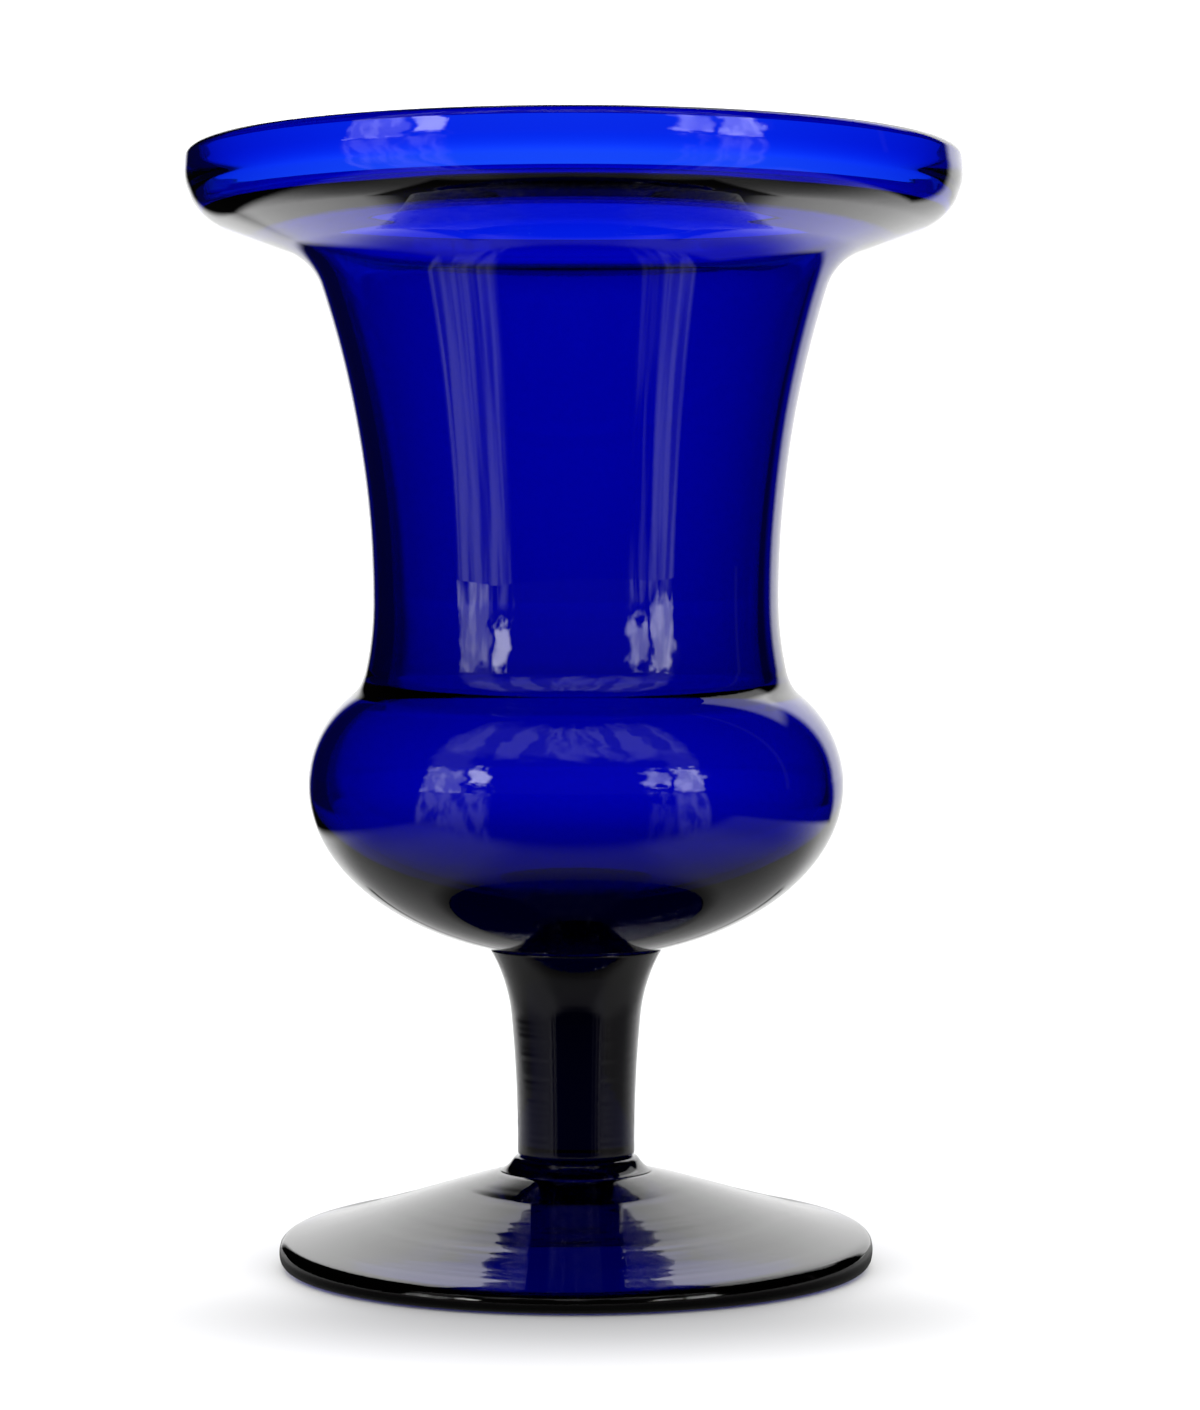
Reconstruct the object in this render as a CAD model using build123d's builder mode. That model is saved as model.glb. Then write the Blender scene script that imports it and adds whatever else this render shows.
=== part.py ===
"""Footed glass vase in bell form: a blown bowl on a solid stem, a joining wafer and a disc foot.

Frame: origin at the centre of the ring the foot rests on, +Z up the axis, millimetres.
Every piece is turned about +Z, so each one is drawn as a half section in the XZ plane.
"""
from build123d import *
import math
import os

# ---- driving dimensions (mm) ----------------------------------------------------------------
HEIGHT = 240.0              # table to the top of the lip

# foot
FOOT_R = 64.1               # largest radius of the disc
FOOT_EDGE_R = 2.6           # round between the cone and the disc's edge
FOOT_LOWER_R = 2.9          # round between the disc's edge and the table
FOOT_SLOPE = 17.5           # fall of the upper cone, degrees
FOOT_SEAT_Z = 20.5          # flat top of the cone, where the wafer sits
FOOT_SEAT_R = 16.7          # radius of that flat top
CONTACT_IN = 58.6           # inner radius of the flat ring that touches the table
CONTACT_BLEND = 1.5         # round between the ring and the hollow under the foot
UNDER_SLOPE = 15.5          # rise of the hollow cone under the foot, degrees
UNDER_CAP_R = 14.0          # inside this radius the hollow closes as a round cap
PONTIL_R = 9.0              # ground hollow where the working rod was broken off
PONTIL_DEPTH = 0.9

# wafer
WAFER_TOP_Z = 23.9
WAFER_TOP_R = 13.2
WAFER_FOOT_R = 16.4         # radius where it meets the foot
WAFER_HOLLOW = 0.3          # how far its slanting side dips in
WAFER_ROUND = 0.5

# stem
STEM_R = 12.65              # radius of the plain lower part
STEM_BEND_Z = 26.0          # the flare starts here
STEM_FLARE_R1 = 297.0       # slow flare of the shaft
STEM_SHOULDER_Z = 54.0      # the slow flare turns into the quick one
STEM_FLARE_R2 = 35.0        # quick flare under the bowl
STEM_TOP_Z = 68.55
STEM_LIP = 0.5              # rounds of the stem's end edges

# bulb, outside and inside
BULB_Z = 104.0              # height of the widest circle
BULB_R = 57.7
BULB_DROP = 37.4            # half height of the ellipse under the widest circle
BULB_SHOULDER_R = 24.8      # round of the shoulder over the widest circle
BULB_WALL = 3.8
BULB_FLOOR = 8.0            # extra thick glass over the stem
CREASE_ROUND = 3.4          # outside, where the shoulder runs into the neck
RIDGE_ROUND = 1.8           # the same crease seen inside

# neck
WAIST_Z = 143.5
WAIST_R = 43.8
NECK_LOW_R = 69.0           # curve from the waist down to the crease
NECK_HIGH_R = 215.0         # curve from the waist up to the throat
NECK_LEAN = 18.3            # lean of the neck where the throat starts, degrees
NECK_WALL = 4.5

# rim
THROAT_R = 13.0             # turn from the neck to the flange
FLANGE_WALL = 3.9
FLANGE_RISE = 20.0          # rise of the flange underneath, degrees
DISH_RISE_IN = 22.0         # rise of the dish on top, next to the throat, degrees
DISH_RISE_OUT = 14.0        # rise of the dish on top, next to the collar, degrees
DISH_KNEE_R = 67.5          # radius where the dish turns from one rise to the other
DISH_KNEE_ROUND = 12.0
RIM_R = 84.0                # outside of the upright collar
COLLAR_TURN_R = 12.0        # outer turn from the flange to the collar
COLLAR_WALL = 3.7
COLLAR_INNER_R = 5.0        # inner turn from the flange to the collar


def ring(builder, radius, height):
    """The circular edge of a turned piece nearest to a given radius and height."""
    circles = builder.edges().filter_by(GeomType.CIRCLE)
    return circles.sort_by(lambda e: abs(e.radius - radius) + abs(e.arc_center.Z - height))[0]


def polar(cx, cz, radius, degrees):
    """Point at an angle on a circle, counted from +X towards +Z."""
    a = math.radians(degrees)
    return (cx + radius * math.cos(a), cz + radius * math.sin(a))


# ---- foot -----------------------------------------------------------------------------------
fall = math.radians(FOOT_SLOPE)
edge_top_r = FOOT_R - FOOT_EDGE_R + FOOT_EDGE_R * math.sin(fall)
edge_top = (edge_top_r, FOOT_SEAT_Z - (edge_top_r - FOOT_SEAT_R) * math.tan(fall))
edge_c = (FOOT_R - FOOT_EDGE_R, edge_top[1] - FOOT_EDGE_R * math.cos(fall))
lower_c = (FOOT_R - FOOT_LOWER_R, FOOT_LOWER_R)
under = math.radians(UNDER_SLOPE)
cap_edge = (UNDER_CAP_R, (CONTACT_IN - UNDER_CAP_R) * math.tan(under))
cap_r = UNDER_CAP_R / math.sin(under)
cap_top = cap_edge[1] + cap_r * (1 - math.cos(under))

with BuildPart() as foot:
    with BuildSketch(Plane.XZ):
        with BuildLine():
            Line((0, cap_top), (0, FOOT_SEAT_Z))
            Line((0, FOOT_SEAT_Z), (FOOT_SEAT_R, FOOT_SEAT_Z))
            Line((FOOT_SEAT_R, FOOT_SEAT_Z), edge_top)
            ThreePointArc(edge_top, polar(*edge_c, FOOT_EDGE_R, (90 - FOOT_SLOPE) / 2), (FOOT_R, edge_c[1]))
            Line((FOOT_R, edge_c[1]), (FOOT_R, FOOT_LOWER_R))
            ThreePointArc((FOOT_R, FOOT_LOWER_R), polar(*lower_c, FOOT_LOWER_R, -45), (lower_c[0], 0))
            Line((lower_c[0], 0), (CONTACT_IN, 0))
            Line((CONTACT_IN, 0), cap_edge)
            ThreePointArc(cap_edge, polar(0, cap_top - cap_r, cap_r, 90 - UNDER_SLOPE / 2), (0, cap_top))
        make_face()
    revolve(axis=Axis.Z)
    # soften the step between the contact ring and the hollow
    fillet(ring(foot, CONTACT_IN, 0), radius=CONTACT_BLEND)
    # pontil hollow: a shallow ball-ended cut
    drop = PONTIL_DEPTH + cap_r - math.sqrt(cap_r**2 - PONTIL_R**2)
    ball_r = (PONTIL_R**2 + drop**2) / (2 * drop)
    with Locations((0, 0, cap_top + PONTIL_DEPTH - ball_r)):
        Sphere(radius=ball_r, mode=Mode.SUBTRACT)

# ---- wafer between foot and stem ------------------------------------------------------------
side_mid = ((WAFER_TOP_R + WAFER_FOOT_R) / 2 - WAFER_HOLLOW, (WAFER_TOP_Z + FOOT_SEAT_Z) / 2 - WAFER_HOLLOW)

with BuildPart() as wafer:
    with BuildSketch(Plane.XZ):
        with BuildLine():
            Line((0, FOOT_SEAT_Z), (0, WAFER_TOP_Z))
            Line((0, WAFER_TOP_Z), (WAFER_TOP_R, WAFER_TOP_Z))
            ThreePointArc((WAFER_TOP_R, WAFER_TOP_Z), side_mid, (WAFER_FOOT_R, FOOT_SEAT_Z))
            Line((WAFER_FOOT_R, FOOT_SEAT_Z), (0, FOOT_SEAT_Z))
        make_face()
    revolve(axis=Axis.Z)
    fillet(ring(wafer, WAFER_TOP_R, WAFER_TOP_Z), radius=WAFER_ROUND)

# ---- stem -----------------------------------------------------------------------------------
shoulder_z = STEM_SHOULDER_Z
lean1 = math.degrees(math.asin((shoulder_z - STEM_BEND_Z) / STEM_FLARE_R1))
shoulder = polar(STEM_R + STEM_FLARE_R1, STEM_BEND_Z, STEM_FLARE_R1, 180 - lean1)
flare_c = polar(*shoulder, STEM_FLARE_R2, -lean1)
lean2 = math.degrees(math.asin((STEM_TOP_Z - flare_c[1]) / STEM_FLARE_R2))
stem_top = polar(*flare_c, STEM_FLARE_R2, 180 - lean2)

with BuildPart() as stem:
    with BuildSketch(Plane.XZ):
        with BuildLine():
            Line((0, STEM_TOP_Z), (0, WAFER_TOP_Z))
            Line((0, WAFER_TOP_Z), (STEM_R, WAFER_TOP_Z))
            Line((STEM_R, WAFER_TOP_Z), (STEM_R, STEM_BEND_Z))
            slow = polar(STEM_R + STEM_FLARE_R1, STEM_BEND_Z, STEM_FLARE_R1, 180 - lean1 / 2)
            ThreePointArc((STEM_R, STEM_BEND_Z), slow, shoulder)
            quick = polar(*flare_c, STEM_FLARE_R2, 180 - (lean1 + lean2) / 2)
            ThreePointArc(shoulder, quick, stem_top)
            Line(stem_top, (0, STEM_TOP_Z))
        make_face()
    revolve(axis=Axis.Z)
    fillet(ring(stem, STEM_R, WAFER_TOP_Z), radius=STEM_LIP)
    fillet(ring(stem, stem_top[0], STEM_TOP_Z), radius=STEM_LIP)

# ---- bowl: bulb, neck and rim are one blown bubble ------------------------------------------
# outside, from the seat on the stem to the lip
seat_bowl_r = BULB_R * math.sqrt(1 - ((BULB_Z - STEM_TOP_Z) / BULB_DROP) ** 2)
seat_angle = math.degrees(math.atan2(-(BULB_Z - STEM_TOP_Z) / BULB_DROP, seat_bowl_r / BULB_R))
shoulder_cx = BULB_R - BULB_SHOULDER_R
neck_low_cx = WAIST_R + NECK_LOW_R


def meet(cx1, cz1, r1, cx2, cz2, r2):
    """Upper crossing of two circles, for the crease between shoulder and neck."""
    d = math.hypot(cx2 - cx1, cz2 - cz1)
    a = (r1**2 - r2**2 + d**2) / (2 * d)
    h = math.sqrt(r1**2 - a**2)
    ux, uz = (cx2 - cx1) / d, (cz2 - cz1) / d
    p = (cx1 + a * ux - h * uz, cz1 + a * uz + h * ux)
    q = (cx1 + a * ux + h * uz, cz1 + a * uz - h * ux)
    return max(p, q, key=lambda point: point[1])


def circle_mid(cx, cz, radius, p, q):
    """Middle of the shorter arc from p to q on a circle."""
    mx, mz = (p[0] + q[0]) / 2 - cx, (p[1] + q[1]) / 2 - cz
    scale = radius / math.hypot(mx, mz)
    return (cx + mx * scale, cz + mz * scale)


crease = meet(shoulder_cx, BULB_Z, BULB_SHOULDER_R, neck_low_cx, WAIST_Z, NECK_LOW_R)
waist = (WAIST_R, WAIST_Z)
neck_top = polar(WAIST_R + NECK_HIGH_R, WAIST_Z, NECK_HIGH_R, 180 - NECK_LEAN)
throat_c = polar(*neck_top, THROAT_R, -NECK_LEAN)
flange_in = polar(*throat_c, THROAT_R, 90 + FLANGE_RISE)
collar_cx = RIM_R - COLLAR_TURN_R
flange_out_x = collar_cx + COLLAR_TURN_R * math.sin(math.radians(FLANGE_RISE))
flange_out_z = flange_in[1] + (flange_out_x - flange_in[0]) * math.tan(math.radians(FLANGE_RISE))
flange_out = (flange_out_x, flange_out_z)
collar_cz = flange_out_z + COLLAR_TURN_R * math.cos(math.radians(FLANGE_RISE))
lip_r = COLLAR_WALL / 2
lip_c = (RIM_R - lip_r, HEIGHT - lip_r)

# inside, from the lip back down to the floor of the bulb
inner_rim = RIM_R - COLLAR_WALL
throat_inner_r = THROAT_R + FLANGE_WALL
dish_in = polar(*throat_c, throat_inner_r, 90 + DISH_RISE_IN)
knee = (DISH_KNEE_R, dish_in[1] + (DISH_KNEE_R - dish_in[0]) * math.tan(math.radians(DISH_RISE_IN)))
inner_turn_cx = inner_rim - COLLAR_INNER_R
rise_out = math.radians(DISH_RISE_OUT)
dish_out_r = inner_turn_cx + COLLAR_INNER_R * math.sin(rise_out)
dish_out = (dish_out_r, knee[1] + (dish_out_r - DISH_KNEE_R) * math.tan(rise_out))
inner_turn_cz = dish_out[1] + COLLAR_INNER_R * math.cos(rise_out)
throat_in_low = polar(*throat_c, throat_inner_r, 180 - NECK_LEAN)
lean = math.radians(NECK_LEAN)
bore_r = WAIST_R - NECK_WALL
neck_in_r = (throat_in_low[0] - bore_r) / (1 - math.cos(lean))
bore_waist = (bore_r, throat_in_low[1] - neck_in_r * math.sin(lean))
neck_mid_in = polar(bore_r + neck_in_r, bore_waist[1], neck_in_r, 180 - NECK_LEAN / 2)
low_in_r = NECK_LOW_R + NECK_WALL
low_in_cx = bore_r + low_in_r
shoulder_in_r = BULB_SHOULDER_R - BULB_WALL
ridge = meet(shoulder_cx, BULB_Z, shoulder_in_r, low_in_cx, bore_waist[1], low_in_r)
bulb_in_r = BULB_R - BULB_WALL
floor_drop = BULB_DROP - BULB_FLOOR

with BuildPart() as bowl:
    with BuildSketch(Plane.XZ):
        with BuildLine():
            Line((0, BULB_Z - floor_drop), (0, STEM_TOP_Z))
            Line((0, STEM_TOP_Z), (seat_bowl_r, STEM_TOP_Z))
            EllipticalCenterArc((0, BULB_Z), BULB_R, BULB_DROP,
                                start_angle=seat_angle, arc_size=-seat_angle)
            ThreePointArc((BULB_R, BULB_Z),
                          circle_mid(shoulder_cx, BULB_Z, BULB_SHOULDER_R, (BULB_R, BULB_Z), crease),
                          crease)
            ThreePointArc(crease, circle_mid(neck_low_cx, WAIST_Z, NECK_LOW_R, crease, waist), waist)
            ThreePointArc(waist,
                          polar(WAIST_R + NECK_HIGH_R, WAIST_Z, NECK_HIGH_R, 180 - NECK_LEAN / 2),
                          neck_top)
            ThreePointArc(neck_top,
                          circle_mid(*throat_c, THROAT_R, neck_top, flange_in), flange_in)
            Line(flange_in, flange_out)
            ThreePointArc(flange_out,
                          polar(collar_cx, collar_cz, COLLAR_TURN_R, (FLANGE_RISE - 90) / 2),
                          (RIM_R, collar_cz))
            Line((RIM_R, collar_cz), (RIM_R, lip_c[1]))
            ThreePointArc((RIM_R, lip_c[1]), (lip_c[0], HEIGHT), (inner_rim, lip_c[1]))
            Line((inner_rim, lip_c[1]), (inner_rim, inner_turn_cz))
            ThreePointArc((inner_rim, inner_turn_cz),
                          polar(inner_turn_cx, inner_turn_cz, COLLAR_INNER_R, (DISH_RISE_OUT - 90) / 2),
                          dish_out)
            Line(dish_out, knee)
            Line(knee, dish_in)
            ThreePointArc(dish_in,
                          circle_mid(*throat_c, throat_inner_r, dish_in, throat_in_low),
                          throat_in_low)
            ThreePointArc(throat_in_low, neck_mid_in, bore_waist)
            ThreePointArc(bore_waist,
                          circle_mid(low_in_cx, bore_waist[1], low_in_r, bore_waist, ridge), ridge)
            ThreePointArc(ridge,
                          circle_mid(shoulder_cx, BULB_Z, shoulder_in_r, ridge, (bulb_in_r, BULB_Z)),
                          (bulb_in_r, BULB_Z))
            EllipticalCenterArc((0, BULB_Z), bulb_in_r, floor_drop, start_angle=-90, arc_size=90)
        make_face()
    revolve(axis=Axis.Z)
    fillet(ring(bowl, *crease), radius=CREASE_ROUND)
    fillet(ring(bowl, *ridge), radius=RIDGE_ROUND)
    fillet(ring(bowl, *knee), radius=DISH_KNEE_ROUND)

# ---- names and files ------------------------------------------------------------------------
foot.part.label = "foot"
wafer.part.label = "wafer"
stem.part.label = "stem"
bowl.part.label = "bowl"

os.makedirs("parts", exist_ok=True)
export_step(foot.part, "parts/foot.step")
export_step(wafer.part, "parts/wafer.step")
export_step(stem.part, "parts/stem.step")
export_step(bowl.part, "parts/bowl.step")
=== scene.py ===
"""Looks of a footed cobalt-blue glass vase: four turned glass pieces around the CAD frame.

Outlines are drawn in millimetres and turned into meshes in metres. The stage follows: the
surroundings, the table and the camera.
"""

import math

import bmesh
import bpy
import numpy as np
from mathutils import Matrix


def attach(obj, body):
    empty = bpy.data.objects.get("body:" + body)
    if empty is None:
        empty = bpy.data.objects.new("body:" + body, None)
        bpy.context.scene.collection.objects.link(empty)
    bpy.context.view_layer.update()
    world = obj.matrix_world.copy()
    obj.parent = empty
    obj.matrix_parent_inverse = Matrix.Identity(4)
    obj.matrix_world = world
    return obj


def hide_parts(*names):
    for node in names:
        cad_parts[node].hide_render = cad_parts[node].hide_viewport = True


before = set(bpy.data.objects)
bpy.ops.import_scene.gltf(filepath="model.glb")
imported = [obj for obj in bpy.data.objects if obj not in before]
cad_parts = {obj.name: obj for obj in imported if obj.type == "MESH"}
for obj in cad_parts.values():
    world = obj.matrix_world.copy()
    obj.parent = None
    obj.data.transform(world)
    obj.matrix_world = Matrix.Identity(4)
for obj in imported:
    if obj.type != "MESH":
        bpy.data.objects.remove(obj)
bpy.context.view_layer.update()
MM = 0.001
D = math.radians

# ---- sizes, the same as the CAD model's (mm, degrees) ----------------------------------------
HEIGHT = 240.0
FOOT_R, FOOT_EDGE_R, FOOT_LOWER_R, FOOT_SLOPE = 64.1, 2.6, 2.9, 17.5
FOOT_SEAT_Z, FOOT_SEAT_R = 20.5, 16.7
CONTACT_IN, UNDER_SLOPE, UNDER_CAP_R, PONTIL_R, PONTIL_DEPTH = 58.6, 15.5, 14.0, 9.0, 0.9
WAFER_TOP_Z, WAFER_TOP_R, WAFER_FOOT_R = 23.9, 13.2, 16.4
STEM_R, STEM_BEND_Z, STEM_SHOULDER_Z, STEM_TOP_Z = 12.65, 26.0, 54.0, 68.55
STEM_FLARE_R1, STEM_FLARE_R2 = 297.0, 35.0
BULB_Z, BULB_R, BULB_DROP, BULB_SHOULDER_R = 104.0, 57.7, 37.4, 24.8
BULB_WALL, BULB_FLOOR = 3.8, 8.0
WAIST_Z, WAIST_R, NECK_LOW_R, NECK_HIGH_R = 143.5, 43.8, 69.0, 215.0
NECK_LEAN, NECK_WALL = 18.3, 4.5
THROAT_R, FLANGE_WALL, FLANGE_RISE = 13.0, 3.9, 20.0
DISH_RISE_IN, DISH_RISE_OUT, DISH_KNEE_R = 22.0, 14.0, 67.5
RIM_R, COLLAR_TURN_R, COLLAR_WALL, COLLAR_INNER_R = 84.0, 12.0, 3.7, 5.0
WAFER_DIP = 0.3             # how far the wafer's slanting side dips in, each way

SEAT_GAP = 0.02             # air between two glasses that meet, so that no faces coincide
SAME_POINT = 1e-4           # outline points closer than this are one point


# ---- outlines --------------------------------------------------------------------------------
class Outline:
    """A half section as one smooth run of points (r, z), drawn with lines and arcs."""

    def __init__(self, start):
        self.p = [np.array(start, float)]

    def at(self):
        return self.p[-1]

    def line(self, end, step):
        a, b = self.at().copy(), np.array(end, float)
        n = max(1, int(math.ceil(np.linalg.norm(b - a) / step)))
        self.p += [a + (b - a) * i / n for i in range(1, n + 1)]

    def arc(self, centre, end, step=0.6, turn=3.0):
        """Shorter arc about centre to end; points no further apart than step or turn degrees."""
        c, a, b = np.array(centre, float), self.at() - centre, np.array(end, float) - centre
        t0, t1 = math.atan2(a[1], a[0]), math.atan2(b[1], b[0])
        d = (t1 - t0 + math.pi) % (2 * math.pi) - math.pi
        r0, r1 = np.linalg.norm(a), np.linalg.norm(b)
        n = max(2, int(math.ceil(max(abs(d) * r0 / step, math.degrees(abs(d)) / turn))))
        for i in range(1, n + 1):
            t, r = t0 + d * i / n, r0 + (r1 - r0) * i / n
            self.p.append(c + r * np.array([math.cos(t), math.sin(t)]))

    def ellipse(self, centre, a, b, t0, t1, n):
        for i in range(1, n + 1):
            t = math.radians(t0 + (t1 - t0) * i / n)
            self.p.append(np.array([centre[0] + a * math.cos(t), centre[1] + b * math.sin(t)]))

    def through(self, mid, end, n):
        """Parabola that passes mid halfway to end."""
        a, b, c = self.at().copy(), np.array(mid), np.array(end)
        pull = 2 * b - (a + c) / 2
        for i in range(1, n + 1):
            t = i / n
            self.p.append(a * (1 - t) ** 2 + 2 * pull * t * (1 - t) + c * t * t)

    def points(self):
        out = [self.p[0]]
        for q in self.p[1:]:
            if np.linalg.norm(q - out[-1]) > SAME_POINT:
                out.append(q)
        return np.array(out)


def polar(c, radius, degrees):
    a = math.radians(degrees)
    return (c[0] + radius * math.cos(a), c[1] + radius * math.sin(a))


def soften(points, where, radius, rounds):
    """Rounds a corner: relaxes the points within a radius of it."""
    p = points.copy()
    near = np.linalg.norm(p - np.array(where), axis=1) < radius
    near[0] = near[-1] = False
    idx = np.where(near)[0]
    for _ in range(rounds):
        p[idx] = 0.5 * p[idx] + 0.25 * (p[idx - 1] + p[idx + 1])
    return p


def meet(c1, r1, c2, r2):
    """Upper crossing of two circles."""
    (x1, z1), (x2, z2) = c1, c2
    d = math.hypot(x2 - x1, z2 - z1)
    a = (r1**2 - r2**2 + d**2) / (2 * d)
    h = math.sqrt(r1**2 - a**2)
    ux, uz = (x2 - x1) / d, (z2 - z1) / d
    p = (x1 + a * ux - h * uz, z1 + a * uz + h * ux)
    q = (x1 + a * ux + h * uz, z1 + a * uz - h * ux)
    return max(p, q, key=lambda k: k[1])


# centres and points that the bowl's outside and inside share
SHOULDER_C = (BULB_R - BULB_SHOULDER_R, BULB_Z)
WAIST_LOW_C = (WAIST_R + NECK_LOW_R, WAIST_Z)
WAIST_HIGH_C = (WAIST_R + NECK_HIGH_R, WAIST_Z)
NECK_TOP = polar(WAIST_HIGH_C, NECK_HIGH_R, 180 - NECK_LEAN)
THROAT_C = polar(NECK_TOP, THROAT_R, -NECK_LEAN)
INNER_RIM_R = RIM_R - COLLAR_WALL
LIP = COLLAR_WALL / 2
LIP_C = (RIM_R - LIP, HEIGHT - LIP)


def bowl_outside(o, seat_r):
    """From the seat on the stem up to the top of the lip. Returns the crease over the bulb."""
    seat_t = math.degrees(math.atan2(-(BULB_Z - STEM_TOP_Z) / BULB_DROP, seat_r / BULB_R))
    crease = meet(SHOULDER_C, BULB_SHOULDER_R, WAIST_LOW_C, NECK_LOW_R)
    flange_in = polar(THROAT_C, THROAT_R, 90 + FLANGE_RISE)
    rise = math.radians(FLANGE_RISE)
    flange_r = RIM_R - COLLAR_TURN_R + COLLAR_TURN_R * math.sin(rise)
    flange_z = flange_in[1] + (flange_r - flange_in[0]) * math.tan(rise)
    collar_c = (RIM_R - COLLAR_TURN_R, flange_z + COLLAR_TURN_R * math.cos(rise))
    o.line((seat_r, STEM_TOP_Z), 1.2)
    o.ellipse((0, BULB_Z), BULB_R, BULB_DROP, seat_t, 0, 110)
    o.arc(SHOULDER_C, crease, 0.45)
    o.arc(WAIST_LOW_C, (WAIST_R, WAIST_Z))
    o.arc(WAIST_HIGH_C, NECK_TOP, 0.9)
    o.arc(THROAT_C, flange_in, 0.3)
    o.line((flange_r, flange_z), 0.6)
    o.arc(collar_c, (RIM_R, collar_c[1]), 0.3)
    o.line((RIM_R, LIP_C[1]), 0.4)
    o.arc(LIP_C, (LIP_C[0], HEIGHT), 0.12, 6)
    return crease


def bowl_inside(o):
    """From the lip down to the bulb's floor. Returns the crease's ridge and the dish's knee."""
    throat_in = THROAT_R + FLANGE_WALL
    dish_in = polar(THROAT_C, throat_in, 90 + DISH_RISE_IN)
    knee_z = dish_in[1] + (DISH_KNEE_R - dish_in[0]) * math.tan(math.radians(DISH_RISE_IN))
    knee = (DISH_KNEE_R, knee_z)
    rise_out = math.radians(DISH_RISE_OUT)
    dish_r = INNER_RIM_R - COLLAR_INNER_R + COLLAR_INNER_R * math.sin(rise_out)
    dish_out = (dish_r, knee[1] + (dish_r - DISH_KNEE_R) * math.tan(rise_out))
    turn_c = (INNER_RIM_R - COLLAR_INNER_R, dish_out[1] + COLLAR_INNER_R * math.cos(rise_out))
    low = polar(THROAT_C, throat_in, 180 - NECK_LEAN)
    lean = math.radians(NECK_LEAN)
    bore = WAIST_R - NECK_WALL
    bore_high_r = (low[0] - bore) / (1 - math.cos(lean))
    bore_waist = (bore, low[1] - bore_high_r * math.sin(lean))
    bore_low_r = NECK_LOW_R + NECK_WALL
    bore_low_c = (bore + bore_low_r, bore_waist[1])
    ridge = meet(SHOULDER_C, BULB_SHOULDER_R - BULB_WALL, bore_low_c, bore_low_r)
    o.arc(LIP_C, (INNER_RIM_R, LIP_C[1]), 0.12, 6)
    o.line((INNER_RIM_R, turn_c[1]), 0.4)
    o.arc(turn_c, dish_out, 0.3)
    o.line(knee, 0.6)
    o.line(dish_in, 0.6)
    o.arc(THROAT_C, low, 0.35)
    o.arc((bore + bore_high_r, bore_waist[1]), bore_waist, 0.9)
    o.arc(bore_low_c, ridge)
    o.arc(SHOULDER_C, (BULB_R - BULB_WALL, BULB_Z), 0.45)
    o.ellipse((0, BULB_Z), BULB_R - BULB_WALL, BULB_DROP - BULB_FLOOR, 0, -90, 110)
    return ridge, knee


def bowl_outline():
    seat_r = BULB_R * math.sqrt(1 - ((BULB_Z - STEM_TOP_Z) / BULB_DROP) ** 2)
    o = Outline((0.0, STEM_TOP_Z))
    crease = bowl_outside(o, seat_r)
    ridge, knee = bowl_inside(o)
    p = soften(o.points(), crease, 3.0, 30)
    p = soften(p, ridge, 1.8, 18)
    p = soften(p, knee, 3.0, 20)
    return soften(p, (seat_r, STEM_TOP_Z), 0.5, 6)


def stem_outline():
    """Plain shaft with a slow flare, then a quick one under the bowl."""
    top = STEM_TOP_Z - SEAT_GAP
    slow_turn = math.degrees(math.asin((STEM_SHOULDER_Z - STEM_BEND_Z) / STEM_FLARE_R1))
    slow_c = (STEM_R + STEM_FLARE_R1, STEM_BEND_Z)
    shoulder = polar(slow_c, STEM_FLARE_R1, 180 - slow_turn)
    quick_c = polar(shoulder, STEM_FLARE_R2, -slow_turn)
    quick_turn = math.degrees(math.asin((top - quick_c[1]) / STEM_FLARE_R2))
    flare = polar(quick_c, STEM_FLARE_R2, 180 - quick_turn)
    o = Outline((0.0, WAFER_TOP_Z))
    o.line((STEM_R, WAFER_TOP_Z), 0.8)
    o.line((STEM_R, STEM_BEND_Z), 0.25)
    o.arc(slow_c, shoulder, 0.3)
    o.arc(quick_c, flare, 0.25)
    o.line((0, top), 0.8)
    p = soften(o.points(), (STEM_R, WAFER_TOP_Z), 0.8, 5)
    return soften(p, flare, 0.7, 4)


def wafer_outline():
    """Thin disc whose slanting side dips in a little."""
    top = WAFER_TOP_Z - SEAT_GAP
    mid = ((WAFER_TOP_R + WAFER_FOOT_R) / 2 - WAFER_DIP, (top + FOOT_SEAT_Z) / 2 - WAFER_DIP)
    o = Outline((0.0, FOOT_SEAT_Z))
    o.line((WAFER_FOOT_R, FOOT_SEAT_Z), 0.8)
    o.through(mid, (WAFER_TOP_R, top), 16)
    o.line((0, top), 0.8)
    return soften(o.points(), (WAFER_TOP_R, top), 0.8, 6)


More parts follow.
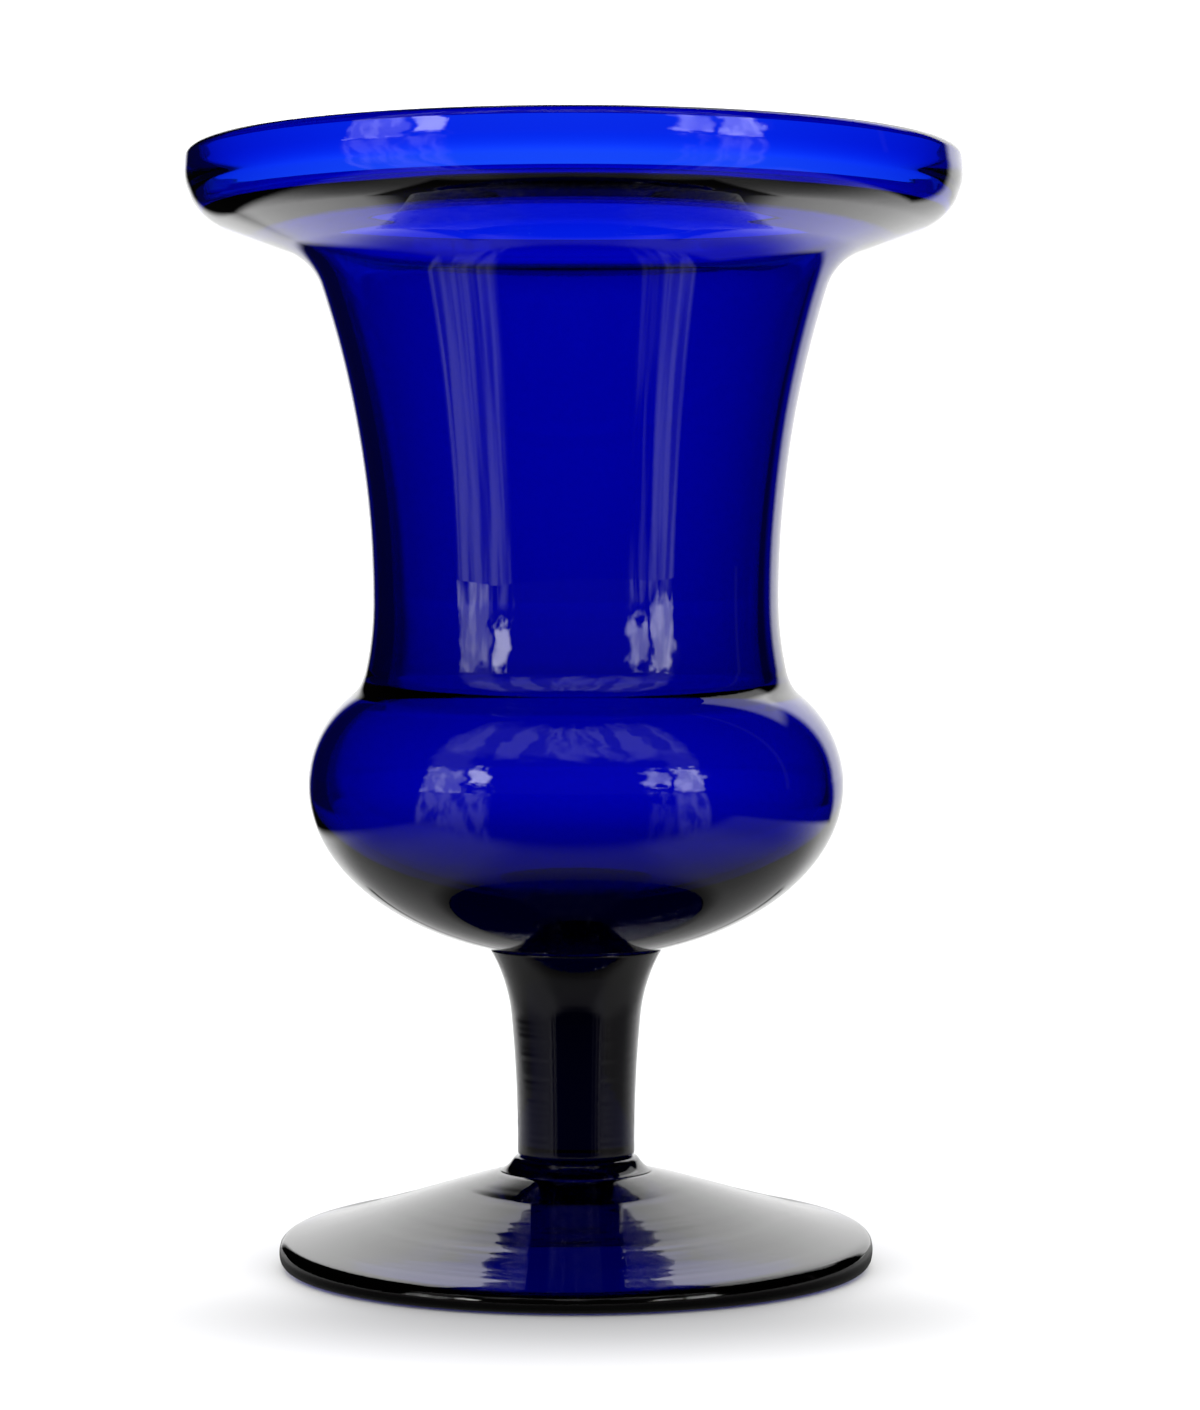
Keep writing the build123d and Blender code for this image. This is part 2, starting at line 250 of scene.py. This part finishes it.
def foot_outline():
    """Shallow cone over a hollow one, with a round cap and a ground pontil mark in the middle."""
    seat_z = FOOT_SEAT_Z - SEAT_GAP
    fall = math.radians(FOOT_SLOPE)
    top_r = FOOT_R - FOOT_EDGE_R + FOOT_EDGE_R * math.sin(fall)
    edge_top = (top_r, FOOT_SEAT_Z - (top_r - FOOT_SEAT_R) * math.tan(fall))
    edge_c = (FOOT_R - FOOT_EDGE_R, edge_top[1] - FOOT_EDGE_R * math.cos(fall))
    lower_c = (FOOT_R - FOOT_LOWER_R, FOOT_LOWER_R)
    under = math.radians(UNDER_SLOPE)
    cap_edge = (UNDER_CAP_R, (CONTACT_IN - UNDER_CAP_R) * math.tan(under))
    cap_ball_r = UNDER_CAP_R / math.sin(under)
    cap_top = cap_edge[1] + cap_ball_r * (1 - math.cos(under))
    drop = PONTIL_DEPTH + cap_ball_r - math.sqrt(cap_ball_r**2 - PONTIL_R**2)
    pontil_ball_r = (PONTIL_R**2 + drop**2) / (2 * drop)
    pontil_top = cap_top + PONTIL_DEPTH
    o = Outline((0.0, seat_z))
    o.line((FOOT_SEAT_R, seat_z), 0.8)
    o.line(edge_top, 0.35)
    o.arc(edge_c, (FOOT_R, edge_c[1]), 0.12)
    o.line((FOOT_R, FOOT_LOWER_R), 0.12)
    o.arc(lower_c, (lower_c[0], 0), 0.12)
    o.line((CONTACT_IN, 0), 0.4)
    o.line(cap_edge, 0.8)
    o.arc((0.0, cap_top - cap_ball_r), (PONTIL_R, pontil_top - drop), 0.5)
    o.arc((0.0, pontil_top - pontil_ball_r), (0, pontil_top), 0.5)
    p = soften(o.points(), (FOOT_R, (edge_c[1] + FOOT_LOWER_R) / 2), 1.6, 60)
    p = soften(p, (CONTACT_IN, 0), 1.2, 10)
    return soften(p, (FOOT_SEAT_R, seat_z), 0.4, 2)


# ---- hand-made unevenness (mm, degrees) ------------------------------------------------------
MOUTH_SWAY, MOUTH_TILT = 0.5, 0.10      # the mouth sits a little to the left and slopes a little
MOUTH_SHRINK, MOUTH_OVAL = 0.007, 0.0012
BOWL_SWELL = 0.0006                     # slow swelling of the blown wall
COLLAR_BARREL, COLLAR_MID_Z = 0.011, 234.5
STEM_RIPPLE, FOOT_RIPPLE = 0.004, 0.005
FOOT_PITCH, FOOT_ROLL = 1.6, 0.35       # lean of the foot's top to the front and to the left
FOOT_SAG = 0.65                         # how much lower still its front hangs
LEAN_START_R, LEAN_SPREAD = 17.5, 7.5   # the lean grows from here, outside the wafer
# tooling rings on the foot: radius (mm) and how much steeper (+) or flatter the cone is there (deg)
RINGS = ((18, 0.0), (28, 0.2), (35, 0.0), (40, 0.6), (44.7, -2.0), (50, -1.0),
         (54, -2.2), (58, -3.6), (61, -3.6), (62, 0.0))
ring_r = np.linspace(18, 64.5, 400)
ring_h = -np.cumsum(np.radians(np.interp(ring_r, *np.array(RINGS).T))) * (ring_r[1] - ring_r[0])

WAVE_PEAK = 1.6     # a sum of such sines peaks at about this many times its root mean square


def waves(count, low, high, seed):
    """Seeded sum of sines, used as a gentle one-dimensional noise of about unit size."""
    g = np.random.default_rng(seed)
    f = g.uniform(low, high, count)
    ph = g.uniform(0, 2 * math.pi, count)
    w = g.uniform(0.5, 1.0, count)

    def value(x):
        x = np.asarray(x, float)[..., None]
        return (w * np.sin(f * x * 2 * math.pi + ph)).sum(-1) / np.sqrt((w**2).sum() / 2) / WAVE_PEAK
    return value


ripple_stem = waves(7, 0.22, 0.75, 11)      # per mm of height
ripple_foot = waves(7, 0.16, 0.50, 12)      # per mm of radius
swell_bowl = waves(5, 0.012, 0.035, 13)     # per mm of height


def ramp(x, start, length):
    """0 up to start, 1 from start + length on."""
    return np.clip((x - start) / length, 0, 1)


def bowl_uneven(r, z, t):
    """The mouth is slightly small, oval and off centre, and the collar is slightly barrelled."""
    up = ramp(z, 120, 120)
    sway = -MOUTH_SWAY * up**1.5
    oval = 1 - MOUTH_SHRINK * up**2 + MOUTH_OVAL * np.cos(2 * (t - 0.7)) * up
    swell = 1 + BOWL_SWELL * swell_bowl(z + 6 * np.cos(t))
    collar = ramp(r, 82.2, 1.0) * ramp(z, 229, 2)
    rr = r * oval * swell - COLLAR_BARREL * collar * (z - COLLAR_MID_Z) ** 2
    x, y = rr * np.cos(t) + sway, rr * np.sin(t)
    return np.hypot(x, y), z - MOUTH_TILT * up * (1 + np.cos(t - 2.2))


def stem_uneven(r, z, t):
    """Faint rings on the side of the stem, fainter on its flare."""
    amp = STEM_RIPPLE * ramp(r, 10, 2) * (1 - ramp(z, 54, 10) * 0.7)
    return r + amp * ripple_stem(z + 0.35 * np.cos(t + 0.6)), z


def foot_uneven(r, z, t):
    """The top leans to the front, the ring stays flat on the table. Faint rings on top."""
    x, y = r * np.cos(t), r * np.sin(t)
    lean = y * math.tan(math.radians(FOOT_PITCH)) + x * math.tan(math.radians(FOOT_ROLL))
    top_z = FOOT_SEAT_Z - np.maximum(r - FOOT_SEAT_R, 0) * math.tan(math.radians(FOOT_SLOPE))
    hollow_z = np.clip((CONTACT_IN - r) * math.tan(math.radians(UNDER_SLOPE)), 0, 15)
    upper = np.clip((z - hollow_z) / (top_z - hollow_z), 0, 1)      # 0 underneath, 1 on top
    fine = ripple_foot(r + 0.8 * np.cos(t + 1.1)) * np.clip((62 - r) / 3, 0, 1) * ramp(r, 18, 4)
    rings = np.interp(r, ring_r, ring_h)
    outside = ramp(r, LEAN_START_R, LEAN_SPREAD)
    sag = -FOOT_SAG * outside * np.clip(-np.sin(t), 0, 1) ** 2
    return r, z + (lean * outside + sag + rings + FOOT_RIPPLE * fine) * upper


def still(r, z, t):
    return r, z


# ---- meshes ----------------------------------------------------------------------------------
def cap_fan(verts, height, start, segments, flip):
    """A point on the axis and the triangles that join it to the ring that begins at start."""
    centre = len(verts)
    verts.append([0, 0, height])
    fan = []
    for q in range(segments):
        a, b = start + q, start + (q + 1) % segments
        fan.append((centre, b, a) if flip else (centre, a, b))
    return fan


def turn(name, outline, segments, uneven):
    """Turns an outline about +Z into one closed mesh. uneven(r, z, angle) moves points a little.

    An outline begins and ends on the axis."""
    ring_pts = outline[1:-1]
    th = np.linspace(0, 2 * math.pi, segments, endpoint=False)
    r, z = ring_pts[:, 0][:, None], ring_pts[:, 1][:, None]
    rr, zz = uneven(np.repeat(r, segments, 1), np.repeat(z, segments, 1), th[None, :])
    x, y = rr * np.cos(th), rr * np.sin(th)
    verts = np.stack([x, y, zz], -1).reshape(-1, 3).tolist()
    n = len(ring_pts)
    i = np.arange(n - 1)[:, None] * segments
    j = np.arange(segments)[None, :]
    k = (j + 1) % segments
    quads = np.stack([i + j, i + k, i + segments + k, i + segments + j], -1).reshape(-1, 4)
    fans = cap_fan(verts, outline[0, 1], 0, segments, True)
    fans += cap_fan(verts, outline[-1, 1], (n - 1) * segments, segments, False)
    mesh = bpy.data.meshes.new(name)
    mesh.from_pydata((np.array(verts) * MM).tolist(), [], quads.tolist() + fans)
    mesh.update()
    ob = bpy.data.objects.new(name, mesh)
    bpy.context.scene.collection.objects.link(ob)
    bm = bmesh.new()
    bm.from_mesh(mesh)
    bmesh.ops.recalc_face_normals(bm, faces=bm.faces)
    bm.to_mesh(mesh)
    bm.free()
    mesh.polygons.foreach_set("use_smooth", [True] * len(mesh.polygons))
    mesh.update()
    return ob


bowl = turn("bowl_glass", bowl_outline(), segments=360, uneven=bowl_uneven)
stem = turn("stem_glass", stem_outline(), segments=240, uneven=stem_uneven)
wafer = turn("wafer_glass", wafer_outline(), segments=200, uneven=still)
foot = turn("foot_glass", foot_outline(), segments=360, uneven=foot_uneven)


# ---- materials -------------------------------------------------------------------------------
GLASS_IOR = 1.52
COBALT = (0.0, 0.39, 0.905)     # what the volume lets through; the rest is absorbed with depth


def surface_noise(nt, bump, scale):
    """Very shallow waves, stretched along the height, as a normal for the shader."""
    coords = nt.nodes.new("ShaderNodeTexCoord")
    stretch = nt.nodes.new("ShaderNodeMapping")
    stretch.inputs["Scale"].default_value = (1, 1, 0.35)
    noise = nt.nodes.new("ShaderNodeTexNoise")
    noise.inputs["Scale"].default_value = scale
    noise.inputs["Detail"].default_value = 2.0
    relief = nt.nodes.new("ShaderNodeBump")
    relief.inputs["Strength"].default_value = bump
    relief.inputs["Distance"].default_value = 0.001
    nt.links.new(coords.outputs["Object"], stretch.inputs["Vector"])
    nt.links.new(stretch.outputs[0], noise.inputs["Vector"])
    nt.links.new(noise.outputs[0], relief.inputs["Height"])
    return relief.outputs[0]


def glass(name, density, bump, scale):
    """Clear cobalt glass: the colour is in the depth of the glass, so thin walls are bright and
    thick ones nearly black. A faint noise in the surface breaks up the reflections."""
    m = bpy.data.materials.new(name)
    m.use_nodes = True
    nt = m.node_tree
    nt.nodes.clear()
    out = nt.nodes.new("ShaderNodeOutputMaterial")
    surface = nt.nodes.new("ShaderNodeBsdfPrincipled")
    surface.inputs["Base Color"].default_value = (1, 1, 1, 1)
    surface.inputs["Transmission Weight"].default_value = 1.0
    surface.inputs["IOR"].default_value = GLASS_IOR
    surface.inputs["Roughness"].default_value = 0.0
    depth = nt.nodes.new("ShaderNodeVolumeAbsorption")
    depth.inputs["Color"].default_value = (*COBALT, 1)
    depth.inputs["Density"].default_value = density
    nt.links.new(surface.outputs[0], out.inputs["Surface"])
    nt.links.new(depth.outputs[0], out.inputs["Volume"])
    nt.links.new(surface_noise(nt, bump, scale), surface.inputs["Normal"])
    return m


bowl.data.materials.append(glass("cobalt_blown", density=1900, bump=0.02, scale=45))
stem.data.materials.append(glass("cobalt_solid", density=2500, bump=0.02, scale=90))
wafer.data.materials.append(glass("cobalt_pressed", density=2200, bump=0.03, scale=120))
foot.data.materials.append(glass("cobalt_foot", density=1900, bump=0.02, scale=70))

for piece, node in ((bowl, "bowl"), (stem, "stem"), (wafer, "wafer"), (foot, "foot")):
    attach(piece, "root")
    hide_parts(node)


# ---- stage: shader arithmetic ----------------------------------------------------------------
class Nodes:
    """Small helper to write node arithmetic as expressions."""

    def __init__(self, tree):
        self.t = tree

    def put(self, socket, value):
        if isinstance(value, bpy.types.NodeSocket):
            self.t.links.new(value, socket)
        else:
            socket.default_value = value

    def op(self, kind, *args):
        n = self.t.nodes.new("ShaderNodeMath")
        n.operation = kind
        for s, v in zip(n.inputs, args):
            self.put(s, v)
        return n.outputs[0]

    def step(self, x, lo, hi, a=0.0, b=1.0):
        """a where x is before lo, b past hi, smooth between; lo may be the larger one."""
        n = self.t.nodes.new("ShaderNodeMapRange")
        n.interpolation_type = "SMOOTHSTEP"
        n.clamp = True
        for s, v in zip(n.inputs, (x, lo, hi, a, b)):
            self.put(s, v)
        return n.outputs[0]

    def mul(self, *xs):
        r = xs[0]
        for x in xs[1:]:
            r = self.op("MULTIPLY", r, x)
        return r

    def add(self, *xs):
        r = xs[0]
        for x in xs[1:]:
            r = self.op("ADD", r, x)
        return r

    def most(self, *xs):
        r = xs[0]
        for x in xs[1:]:
            r = self.op("MAXIMUM", r, x)
        return r

    def rest(self, x):
        return self.op("SUBTRACT", 1.0, x)

    def pick(self, flag, yes, no):
        """yes where flag is 1, no where it is 0."""
        return self.add(self.mul(flag, yes), self.mul(self.rest(flag), no))

    def streaks(self, angle, tilt, seed, lo, hi, across, along):
        """Soft seeded streaks, 0..1: across and along say how fine they are in angle and tilt."""
        v = self.t.nodes.new("ShaderNodeCombineXYZ")
        self.put(v.inputs[0], self.mul(angle, across))
        self.put(v.inputs[1], self.mul(tilt, along))
        v.inputs[2].default_value = seed
        n = self.t.nodes.new("ShaderNodeTexNoise")
        n.inputs["Scale"].default_value = 1.0
        n.inputs["Detail"].default_value = 3.0
        self.t.links.new(v.outputs[0], n.inputs["Vector"])
        return self.step(n.outputs["Fac"], lo, hi)

    def white_back(self, angle):
        """1 in the sector of the white backdrop, which reaches further round on the right."""
        return self.most(self.step(angle, D(140), D(148)), self.step(angle, D(-158), D(-166)))


# ---- stage: surroundings ---------------------------------------------------------------------
EYE_WHITE = 1.6         # the white that the eye sees behind the vase
TABLE_LIGHT = 1.5       # the even light that falls on the table
ROOM_FLOOR = 0.003      # least brightness of anything that the glass mirrors

# bright patches of the room that the glass mirrors: azimuth from and to, height from and to and
# softness in degrees, then its even brightness and what the streaks add to it
LIGHT_PATCHES = {
    "left_box": (-68, -50, -2, 19, 1.5, 1.1, 1.4),
    "left_low": (-62, -36, -10, 4, 2.5, 0.0, 0.7),
    "lamp": (-46, -37.5, 8, 21, 1.5, 7.0, 0.0),
    "right_box_in": (29, 40, 7, 20, 1.5, 2.2, 2.0),
    "right_box_out": (43.5, 55.5, 1, 21, 1.0, 2.6, 2.4),
    "right_low": (29, 55, -18, 3, 2.5, 0.0, 0.8),
}


def patch(n, az, el, a0, a1, e0, e1, soft):
    """1 in a soft-edged rectangle of azimuth and height, given in degrees."""
    s = D(soft)
    return n.mul(n.step(az, D(a0) - s, D(a0) + s), n.step(az, D(a1) + s, D(a1) - s),
                 n.step(el, D(e0) - s, D(e0) + s), n.step(el, D(e1) + s, D(e1) - s))


def backdrop(n, az, el):
    """White cloth behind the vase, brighter with height up to its bend and dimmer over it."""
    reach = n.mul(n.white_back(az), n.step(el, D(67), D(61)))
    climb = n.step(el, D(-5), D(36), 1.25, 1.9)
    over = n.step(el, D(36), D(50), 1.0, 0.62)
    return n.mul(reach, climb, over)


def room(n, az, el):
    """Light patches, ceiling and walls in front of the vase, with edges that waver a little."""
    grain = n.streaks(az, el, 3.0, 0.42, 0.62, 12.0, 5.0)
    waver_az = n.op("SUBTRACT", n.streaks(az, el, 11.0, 0.3, 0.7, 7.0, 7.0), 0.5)
    waver_el = n.op("SUBTRACT", n.streaks(az, el, 17.0, 0.3, 0.7, 6.0, 8.0), 0.5)
    az = n.add(az, n.mul(waver_az, 0.075))
    el = n.add(el, n.mul(waver_el, 0.10))
    lights = [n.mul(patch(n, az, el, *place), n.add(even, n.mul(grain, streaked)))
              for *place, even, streaked in LIGHT_PATCHES.values()]
    clouds = n.add(0.14, n.mul(n.streaks(az, el, 8.0, 0.44, 0.54, 4.5, 1.2), 0.45))
    ceiling = n.mul(patch(n, az, el, -66, 55, 34, 64, 5), clouds)
    left_wall = patch(n, az, el, -67, -48, 10, 40, 3)
    right_wall = patch(n, az, el, 42, 56, 10, 40, 3)
    walls = n.mul(n.add(left_wall, right_wall), 0.20)
    haze = n.mul(patch(n, az, el, -66, 55, -12, 34, 3), 0.02)
    return n.add(*lights, ceiling, walls, haze)


def surroundings():
    """World: one brightness for the eye, one for the table, and a room for what the glass mirrors."""
    world = bpy.data.worlds.new("studio")
    bpy.context.scene.world = world
    world.use_nodes = True
    wt = world.node_tree
    wt.nodes.clear()
    n = Nodes(wt)
    coords = wt.nodes.new("ShaderNodeTexCoord")
    split = wt.nodes.new("ShaderNodeSeparateXYZ")
    wt.links.new(coords.outputs["Generated"], split.inputs[0])
    dx, dy, dz = split.outputs
    az = n.op("ARCTAN2", dx, n.op("MULTIPLY", dy, -1.0))     # 0 towards the room, +-pi the backdrop
    el = n.op("ARCSINE", dz)
    wedge = patch(n, az, el, 128, 150, 30, 60, 3)            # bright corner beside the backdrop
    upright = n.mul(patch(n, az, el, 100.5, 103, -30, 60, 0.8), 0.04)     # thin and dim, at the right
    mirrored = n.add(backdrop(n, az, el), wedge, room(n, az, el), upright, ROOM_FLOOR)

    to_back = n.step(n.white_back(az), 0.0, 1.0, 0.19, 1.0)
    to_room = n.step(n.op("ABSOLUTE", az), D(120), D(60), 0.19, 0.75)
    climb = n.step(el, D(-5), D(35), 1.62, 2.1)
    over = n.step(el, D(74), D(60), 0.15, 1.0)
    through = n.mul(n.most(to_back, to_room), climb, over)

    ray = wt.nodes.new("ShaderNodeLightPath").outputs
    glassy = n.pick(ray["Is Transmission Ray"], through, mirrored)
    unseen = n.pick(ray["Is Diffuse Ray"], TABLE_LIGHT, glassy)
    background = wt.nodes.new("ShaderNodeBackground")
    background.inputs["Color"].default_value = (1, 1, 1, 1)
    n.put(background.inputs["Strength"], n.pick(ray["Is Camera Ray"], EYE_WHITE, unseen))
    out = wt.nodes.new("ShaderNodeOutputWorld")
    wt.links.new(background.outputs[0], out.inputs["Surface"])


# ---- stage: table (m) ------------------------------------------------------------------------
TABLE_SIZE = 12.0
TABLE_DROP = 0.0002                                 # keeps it clear of the ring that stands on it
TABLE_WHITE = 0.92
GLASS_HEIGHT = 0.15                                 # where most of the glass that mirrors it is
SHEET_LEFT, SHEET_RIGHT = (-0.27, -0.21), (0.33, 0.28)      # soft edges: from no sheet to full sheet
SHEET_END = (-0.15, -0.10)                          # it ends just in front of the vase
SHEET_END_THROUGH = (-0.40, -0.20)                  # the same end as it is seen through the glass
# painted shadow: the table's colour is made darker round the foot
PAINTED_CONTACT_SHADE = (0.062, 0.145)                      # the shade round the foot, measured outwards

# long reflections of the lamps, painted on the table in front of the sheet: azimuth from and to
# (degrees, each with its soft edge), then even brightness and what the streaks add to it
PAINTED_LAMP_TRAILS = (
    (-70, -67, -34, -38, 0.15, 1.0),
    (40, 43, 57, 54, 0.2, 1.0),
    (28, 31, 42, 38, 0.0, 0.4),
)


def table_painted_reflection(n, x, y, side, away, width, ray_length):
    """What the glass mirrors, painted as a glow that only the glass sees: a white sheet with painted
    light and shade, dim in front of it, with the lamps' trails there as painted reflections.
    """
    sheet = n.mul(n.most(width, n.white_back(side)), n.step(y, *SHEET_END))
    beside = n.op("ABSOLUTE", x)
    # painted light and shade on the sheet: dimmer towards the front, a little brighter in wings beside
    # the vase, darker still close round the foot
    wings = n.mul(n.step(beside, 0.045, 0.085), n.step(beside, 0.22, 0.13), n.step(y, 0.14, 0.04), 0.15)
    light = n.add(n.step(y, 0.0, 0.30, 0.17, 1.15), wings)
    painted_shade_near_foot = n.step(away, 0.064, 0.085, 0.3, 1.0)
    # painted shadow of the vase: close behind the foot the sheet is dark, but only as far-off glass,
    # such as the rim, mirrors it
    to_sides = n.step(beside, 0.107, 0.118, 0.05, 1.0)
    to_front = n.step(y, -0.02, -0.06)
    to_back = n.step(y, 0.19, 0.24)
    close_glass = n.step(ray_length, 0.24, 0.225)
    shade = n.most(n.most(to_sides, to_front), n.most(to_back, close_glass))
    down = n.op("ARCTAN2", GLASS_HEIGHT, away)      # how steeply the glass looks down at the table
    rows = n.streaks(side, down, 5.0, 0.36, 0.62, 13.0, 3.0)
    trails = [n.mul(n.step(side, D(a0), D(a1)), n.step(side, D(b0), D(b1)),
                    n.add(even, n.mul(rows, streaked)))
              for a0, a1, b0, b1, even, streaked in PAINTED_LAMP_TRAILS]
    trail = n.mul(n.add(*trails), n.step(down, D(2), D(45), 0.75, 0.20))
    return n.add(n.mul(sheet, light, painted_shade_near_foot, shade), n.mul(trail, n.rest(sheet)), 0.004)


def table_painted_through(n, y, side, away, width):
    """What shows through the glass, painted as a glow that only the glass sees: painted shade under and
    round the foot, brighter away from it, and dim past the sheet's end.
    """
    lit = n.mul(n.most(width, n.white_back(side)), n.step(y, *SHEET_END_THROUGH))
    return n.mul(n.add(0.17, lit), n.step(away, 0.058, 0.20, 0.26, 1.55))


def table_white_with_painted_shadow(n, y, away):
    """White, with a soft contact shadow painted into its colour round the foot, deeper in front."""
    rise = n.step(away, *PAINTED_CONTACT_SHADE)
    to_front = n.op("DIVIDE", n.mul(y, -1.0), away)
    front = n.step(to_front, 0.25, 1.0, 0.02, 0.52)
    return n.mul(n.rest(n.mul(n.rest(rise), front)), TABLE_WHITE)


def table_material():
    """Lit softly for the eye, with a painted contact shadow; for the glass it glows with a painted
    brightness plan of its own, painted reflections and shade included.
    """
    m = bpy.data.materials.new("table_white")
    m.use_nodes = True
    nt = m.node_tree
    nt.nodes.clear()
    n = Nodes(nt)
    coords = nt.nodes.new("ShaderNodeTexCoord")
    split = nt.nodes.new("ShaderNodeSeparateXYZ")
    nt.links.new(coords.outputs["Object"], split.inputs[0])
    x, y, _ = split.outputs
    side = n.op("ARCTAN2", x, n.op("MULTIPLY", y, -1.0))      # 0 in front, + to the right
    away = n.op("SQRT", n.add(n.mul(x, x), n.mul(y, y)))
    width = n.mul(n.step(x, *SHEET_LEFT), n.step(x, *SHEET_RIGHT))
    ray = nt.nodes.new("ShaderNodeLightPath").outputs

    grey = nt.nodes.new("ShaderNodeCombineXYZ")
    brightness = table_white_with_painted_shadow(n, y, away)
    for channel in grey.inputs:
        n.put(channel, brightness)
    matt = nt.nodes.new("ShaderNodeBsdfDiffuse")
    n.put(matt.inputs["Color"], grey.outputs[0])
    # the table glows for glossy and transmission rays: painted reflection, light and shade that only
    # the glass sees
    glow = nt.nodes.new("ShaderNodeEmission")
    through = table_painted_through(n, y, side, away, width)
    mirrored = table_painted_reflection(n, x, y, side, away, width, ray["Ray Length"])
    n.put(glow.inputs["Strength"], n.pick(ray["Is Transmission Ray"], through, mirrored))
    choice = nt.nodes.new("ShaderNodeMixShader")
    n.put(choice.inputs[0], n.most(ray["Is Glossy Ray"], ray["Is Transmission Ray"]))
    n.put(choice.inputs[1], matt.outputs[0])
    n.put(choice.inputs[2], glow.outputs[0])
    out = nt.nodes.new("ShaderNodeOutputMaterial")
    n.put(out.inputs["Surface"], choice.outputs[0])
    return m


def table():
    bpy.ops.mesh.primitive_plane_add(size=TABLE_SIZE, location=(0, 0, -TABLE_DROP))
    top = bpy.context.object
    top.name = "table_top"
    top.data.materials.append(table_material())
    return top


# ---- stage: camera ---------------------------------------------------------------------------
CAMERA_PLACE = (0.0, -0.859, 0.1416)    # m
CAMERA_LENS, CAMERA_SENSOR = 101.6, 36.0
CAMERA_DOWN, CAMERA_PAN = 1.367, -0.345     # degrees; the pan is negative to the right
BOUNCES = {"max_bounces": 32, "transmission_bounces": 32, "glossy_bounces": 16,
           "transparent_max_bounces": 16}


def camera():
    lens = bpy.data.cameras.new("camera")
    lens.lens = CAMERA_LENS
    lens.sensor_width = CAMERA_SENSOR
    lens.clip_start = 0.01
    cam = bpy.data.objects.new("camera", lens)
    cam.location = CAMERA_PLACE
    cam.rotation_euler = (D(90 - CAMERA_DOWN), 0, D(CAMERA_PAN))
    bpy.context.scene.collection.objects.link(cam)
    bpy.context.scene.camera = cam


def view_and_bounces(scene):
    """Plain view transform, and enough bounces for light to cross every wall of the glass."""
    scene.view_settings.view_transform = "Standard"
    scene.view_settings.look = "None"
    for name, count in BOUNCES.items():
        setattr(scene.cycles, name, count)
    scene.cycles.caustics_refractive = True
    scene.cycles.caustics_reflective = True
    scene.cycles.blur_glossy = 0.0
    scene.cycles.sample_clamp_indirect = 0.0
    scene.cycles.use_denoising = True


surroundings()
table_top = table()
camera()
view_and_bounces(bpy.context.scene)
